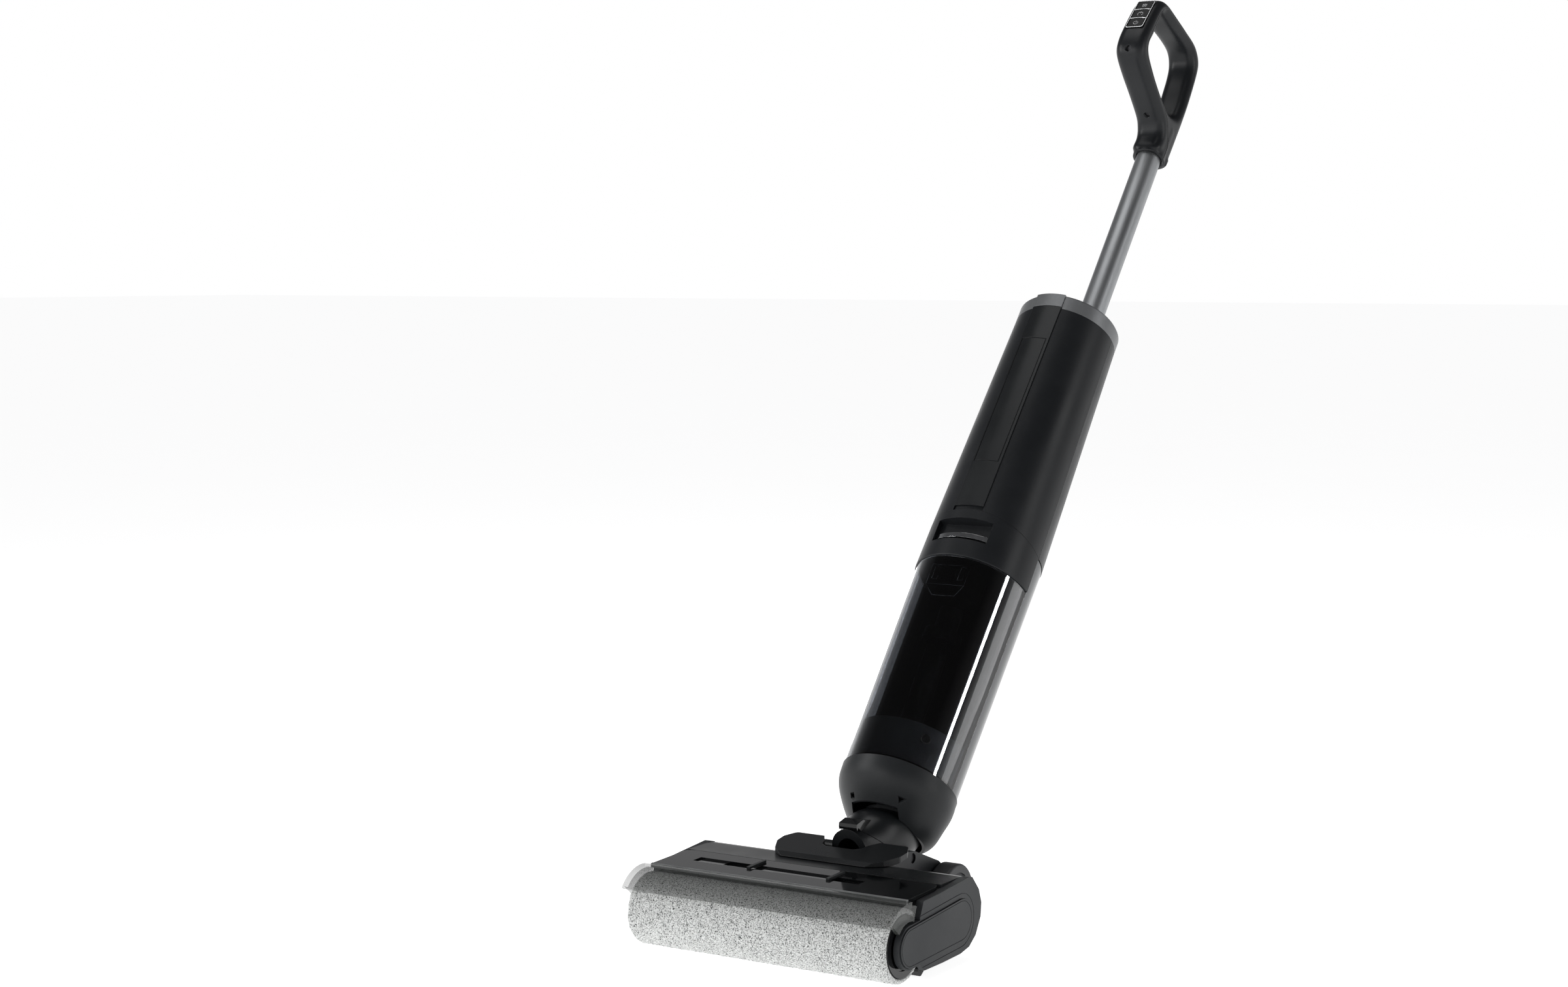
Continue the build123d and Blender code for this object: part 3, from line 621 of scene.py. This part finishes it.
# The button panel: its middle, the way it faces and the way up it, then the recess cut for it.
PANEL_AT = Vector((0, -80.6, 1033.5))
PANEL_OUT = Vector((0, -0.988, 0.1545)).normalized()
PANEL_UP = PANEL_OUT.cross(Vector((1, 0, 0))).normalized()
if PANEL_UP.z < 0:
    PANEL_UP = -PANEL_UP
PANEL_MATRIX = Matrix((
    (1, PANEL_UP.x, PANEL_OUT.x, PANEL_AT.x),
    (0, PANEL_UP.y, PANEL_OUT.y, PANEL_AT.y),
    (0, PANEL_UP.z, PANEL_OUT.z, PANEL_AT.z),
    (0, 0, 0, 1),
))
RECESS_HALF_WIDTH = 10.3
RECESS_HALF_HEIGHT = 22.6
RECESS_FROM = -4.0
RECESS_TO = 12.0
RECESS_CORNER = 2.2
# Each screw hole: where it opens (back, up) and its pitch in degrees.
SCREWS = ((-79.5, 986.5, -38.0), (-1.5, 963.2, -72.0))


def cut(obj, tool):
    mod = obj.modifiers.new("cut", "BOOLEAN")
    mod.operation = "DIFFERENCE"
    mod.solver = "EXACT"
    mod.object = tool
    bake_modifiers(obj)
    bpy.data.objects.remove(tool)


def build_recess(bm):
    made = bmesh.ops.create_cube(bm, size=1.0)
    depth = RECESS_TO - RECESS_FROM
    for v in made["verts"]:
        x, y, z = v.co
        out = RECESS_FROM + (z + 0.5) * depth
        v.co = Vector((x * 2 * RECESS_HALF_WIDTH, y * 2 * RECESS_HALF_HEIGHT, out))
    edges = [e for e in bm.edges if abs((e.verts[0].co - e.verts[1].co).normalized().z) > 0.9]
    bmesh.ops.bevel(bm, geom=edges, offset=RECESS_CORNER, segments=5, affect="EDGES", profile=0.5)
    bmesh.ops.transform(bm, matrix=PANEL_MATRIX, verts=bm.verts)


def build_screw_hole(back, up, pitch):
    aim = Vector((0, -cos(radians(pitch)), sin(radians(pitch))))

    def build(bm):
        turn = aim.to_track_quat("Z", "Y").to_matrix().to_4x4()
        made = bmesh.ops.create_cone(bm, cap_ends=True, segments=40, radius1=HOLE_RADIUS,
                                     radius2=HOLE_RADIUS, depth=HOLE_LENGTH)
        place = Matrix.Translation(Vector((0, back, up)) - aim * HOLE_SHIFT) @ turn
        bmesh.ops.transform(bm, matrix=place, verts=made["verts"])
    return build


def build_end_block(bm):
    """A block that trims the collar off flat at its end."""
    side = 60.0
    place = Matrix.Translation((0, TUBE_BACK, HANDLE_END - side / 2))
    bmesh.ops.create_cube(bm, size=side, matrix=place)


def build_bore(bm):
    place = Matrix.Translation((0, TUBE_BACK, HANDLE_END + 1))
    bmesh.ops.create_cone(bm, cap_ends=True, segments=96, radius1=BORE_RADIUS, radius2=BORE_RADIUS,
                          depth=BORE_LENGTH, matrix=place)


def handle_shell():
    """The whole handle, with its recess, screw holes and bore, in place of the CAD's two halves."""
    handle = loop_handle()
    cut(handle, cutter("panel_cut", build_recess))
    for k, (back, up, pitch) in enumerate(SCREWS):
        cut(handle, cutter("screw_cut_%d" % k, build_screw_hole(back, up, pitch)))
    cut(handle, cutter("end_cut", build_end_block))
    cut(handle, cutter("bore_cut", build_bore))
    handle.data.transform(Matrix.Scale(MM, 4))
    handle.data.transform(BODY_MATRIX)
    handle.data.materials.clear()
    handle.data.materials.append(BLACK)
    handle.data.shade_smooth()
    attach(handle, "upright")
    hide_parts("handle_front", "handle_rear")
    return handle


def handle_seam(handle, name, side):
    """The parting line down one side, laid onto the shell."""
    line = []
    for back, up in smooth_line(SEAM, False, 4):
        found, near, normal, _ = handle.closest_point_on_mesh(body_point(side * 20, back, up))
        if found:
            line.append(near + normal * 0.00002)
    seam = tube_along(name, line, SEAM_RADIUS, GLOSS, "upright")


HANDLE = handle_shell()
handle_seam(HANDLE, "handle_seam_left", -1)
handle_seam(HANDLE, "handle_seam_right", 1)


# ---- button panel: bright frame, dividers and plain icons (millimetres on the panel) ----
FRAME_HALF_WIDTH = 9.6
FRAME_HALF_HEIGHT = 21.6
FRAME_CORNER = 2.4
FRAME_RISE = 0.35
ICON_RISE = 0.36
BUTTON_STEP = 14.4


def panel_point(u, v, w):
    """Point on the button panel: across, up and out of it."""
    return BODY_MATRIX @ ((PANEL_MATRIX @ Vector((u, v, w))) * MM)


def panel_frame():
    wide = FRAME_HALF_WIDTH - FRAME_CORNER
    high = FRAME_HALF_HEIGHT - FRAME_CORNER
    pts = []
    for cu, cv, start in ((wide, high, 0), (-wide, high, 90), (-wide, -high, 180), (wide, -high, 270)):
        for k in range(7):
            a = radians(start + 15 * k)
            pts.append(panel_point(cu + FRAME_CORNER * cos(a), cv + FRAME_CORNER * sin(a), FRAME_RISE))
    tube_along("button_frame", pts, 0.00042, CHROME, "upright", closed=True)


def panel_divider(name, v):
    """A slightly arched bar between two buttons."""
    pts = []
    for k in range(13):
        u = -FRAME_HALF_WIDTH + 2 * FRAME_HALF_WIDTH * k / 12
        pts.append(panel_point(u, v + 0.9 * sin(pi * k / 12), FRAME_RISE))
    tube_along(name, pts, 0.00036, CHROME, "upright")


def icon(name, strokes, body):
    """White strokes that move with their button."""
    for k, stroke in enumerate(strokes):
        pts = [panel_point(u, v, ICON_RISE) for u, v in stroke]
        bead = tube_along("%s_%d" % (name, k), pts, 0.0002, WHITE_INK, body, sides=6)


def arc(cu, cv, r, start, end, steps=14):
    pts = []
    for k in range(steps + 1):
        a = radians(start + (end - start) * k / steps)
        pts.append((cu + r * cos(a), cv + r * sin(a)))
    return pts


def wave(v):
    """A short wavy line across the top button."""
    return [(-2.6 + 0.5 * k, BUTTON_STEP + v + 0.5 * sin(1.3 * k)) for k in range(11)]


panel_frame()
panel_divider("button_divider_0", -BUTTON_STEP / 2)
panel_divider("button_divider_1", BUTTON_STEP / 2)
icon("icon_power", [arc(0, 0, 2.9, -50, 230), [(0, 0.8), (0, 3.6)]], "button_middle")
icon("icon_mode", [wave(-1.6), wave(0.0), wave(1.6)], "button_top")
icon("icon_rinse", [arc(0, -14.6, 2.6, 100, 380), [(-0.2, -11.6), (1.2, -13.2), (0, -14.6)]], "button_low")


# ---- filter cage: painted highlights along its edges, drawn as bright chrome beads and seen through the tank (millimetres, as x, back, up) ----
CAGE_BACK = -46.2


def cage_box(x0, x1, low, high):
    """A closed rectangle on the front face of the cage."""
    corners = ((x0, low), (x1, low), (x1, high), (x0, high), (x0, low))
    return [(x, CAGE_BACK, up) for x, up in corners]


def cage_edge_glints():
    slope = [(-19.8, CAGE_BACK, 342.4), (-12, -43.2, 332.2), (12, -43.2, 332.2), (19.8, CAGE_BACK, 342.4)]
    lines = (
        cage_box(-19.8, 19.8, 342.4, 364),
        slope,
        cage_box(-16.1, -10.9, 348, 362),
        cage_box(10.9, 16.1, 348, 362),
    )
    for k, line in enumerate(lines):
        pts = [body_point(x, back, up) for x, back, up in line]
        # Painted highlights: bright chrome beads on the near-black cage's edges stand in for the light
        # caught on them.
        bead = tube_along("cage_edge_%d" % k, pts, 0.0003, CHROME, "dirty_tank", sides=6)


cage_edge_glints()


# ---- stage, lights and camera ----
FLOOR_HALF = 40.0
FLOOR_GLOW = 0.86
FLOOR_DROP = 0.0005
CAM_AZ = radians(32.95)
CAM_EL = radians(4.77)
CAM_LENS = 62.308
CAM_AT = Vector((1.2462, -1.9032 + ROLLER.y, 0.5919))


def light(name, at, aim, size, power, length=None, along=None):
    """A square or, with a length, an oblong lamp; along is the way its length runs."""
    data = bpy.data.lights.new(name, "AREA")
    data.shape = "RECTANGLE"
    data.size = size
    data.size_y = length or size
    data.energy = power
    obj = bpy.data.objects.new(name, data)
    bpy.context.scene.collection.objects.link(obj)
    back = (Vector(at) - Vector(aim)).normalized()
    if along is None:
        turn = back.to_track_quat("Z", "Y").to_matrix()
    else:
        y = (along - back * along.dot(back)).normalized()
        turn = Matrix((y.cross(back), y, back)).transposed()
    obj.matrix_world = Matrix.Translation(at) @ turn.to_4x4()
    return obj


def lit_only(lamp, name, objects):
    """Let a lamp light only the given objects."""
    group = bpy.data.collections.new(name)
    for obj in objects:
        group.objects.link(obj)
    lamp.light_linking.receiver_collection = group


def strip(name, way, distance, width, length, power, group, objects):
    """A long lamp beside the leaning body, off the middle of the tanks, that lights some objects only."""
    middle = body_point(0, 0, 260)
    lamp = light(name, middle + Vector(way) * distance, middle, width, power, length, UP)
    lit_only(lamp, group, objects)


def stage():
    """A pale floor that glows a little, so that it stays nearly white."""
    mat, tree, shader = new_material("floor_pale")
    cloud = noise(tree, coords(tree), 3.0)
    pale = ramp(tree, cloud, [(0.3, (0.78, 0.78, 0.78)), (0.7, (0.80, 0.80, 0.80))])
    link(tree, pale, shader.inputs["Base Color"])
    shader.inputs["Roughness"].default_value = 0.9
    shader.inputs["Specular IOR Level"].default_value = 0.0
    shader.inputs["Emission Color"].default_value = (1, 1, 1, 1)
    shader.inputs["Emission Strength"].default_value = FLOOR_GLOW
    r = FLOOR_HALF
    corners = [(-r, -r, 0), (r, -r, 0), (r, r, 0), (-r, r, 0)]
    floor = add_mesh("stage_floor", corners, [(0, 1, 2, 3)], mat, None, False)
    floor.location.z = CAD_BOUNDS[0][2] - FLOOR_DROP


def world():
    """White round the horizon and dark overhead, which keeps the black plastics black."""
    w = bpy.data.worlds.new("studio")
    bpy.context.scene.world = w
    w.use_nodes = True
    tree = w.node_tree
    back = tree.nodes["Background"]
    where = tree.nodes.new("ShaderNodeTexCoord")
    parts = tree.nodes.new("ShaderNodeSeparateXYZ")
    link(tree, where.outputs["Generated"], parts.inputs["Vector"])
    height = spread(tree, parts.outputs["Z"], 0.0, 1.0, 0.0, 1.0)
    white = (1.0, 1.0, 1.0)
    sky = ramp(tree, height, [(0.0, white), (0.11, white), (0.2, (0.5, 0.5, 0.505)),
                              (0.4, (0.16, 0.16, 0.165)), (0.62, (0.06, 0.06, 0.062))])
    link(tree, sky, back.inputs["Color"])
    back.inputs["Strength"].default_value = 1.0


def lights():
    light("key_front", (-0.7, -2.7, 0.9), (0, -0.25, 0.1), 1.2, 10)
    light("top_soft", (-0.3, 0.1, 2.8), (0, 0, 0.3), 1.6, 14)
    tanks = [NODES["dirty_tank"], NODES["clean_tank"]]
    mirrors = tanks + [NODES["window_panel"], NODES["hood"]]
    satin = [o for o in bpy.context.scene.objects if o.type == "MESH" and o not in mirrors]
    strip("strip_right", (0.887, 0.294, 0.354), 1.6, 0.15, 2.4, 85, "tanks_right", tanks)
    strip("card_right", (0.75, 0.66, 0.06), 1.9, 0.85, 2.6, 15, "tanks_card", tanks)
    strip("strip_left", (-0.643, 0.765, -0.02), 1.7, 0.16, 2.4, 8, "tanks_left", tanks)
    strip("soft_left", (-0.69, -0.52, 0.5), 2.0, 0.6, 1.5, 16, "satin_left", satin)
    strip("soft_right", (0.93, 0.2, 0.3), 2.0, 0.5, 1.8, 7, "satin_right", satin)


def camera():
    data = bpy.data.cameras.new("camera")
    data.sensor_width = 36.0
    data.lens = CAM_LENS
    data.clip_end = 60.0
    obj = bpy.data.objects.new("camera", data)
    bpy.context.scene.collection.objects.link(obj)
    back = Vector((sin(CAM_AZ) * cos(CAM_EL), -cos(CAM_AZ) * cos(CAM_EL), sin(CAM_EL)))
    turn = back.to_track_quat("Z", "Y").to_matrix().to_4x4()
    obj.matrix_world = Matrix.Translation(CAM_AT) @ turn
    bpy.context.scene.camera = obj


stage()
world()
lights()
camera()
bpy.context.scene.view_settings.view_transform = "Standard"
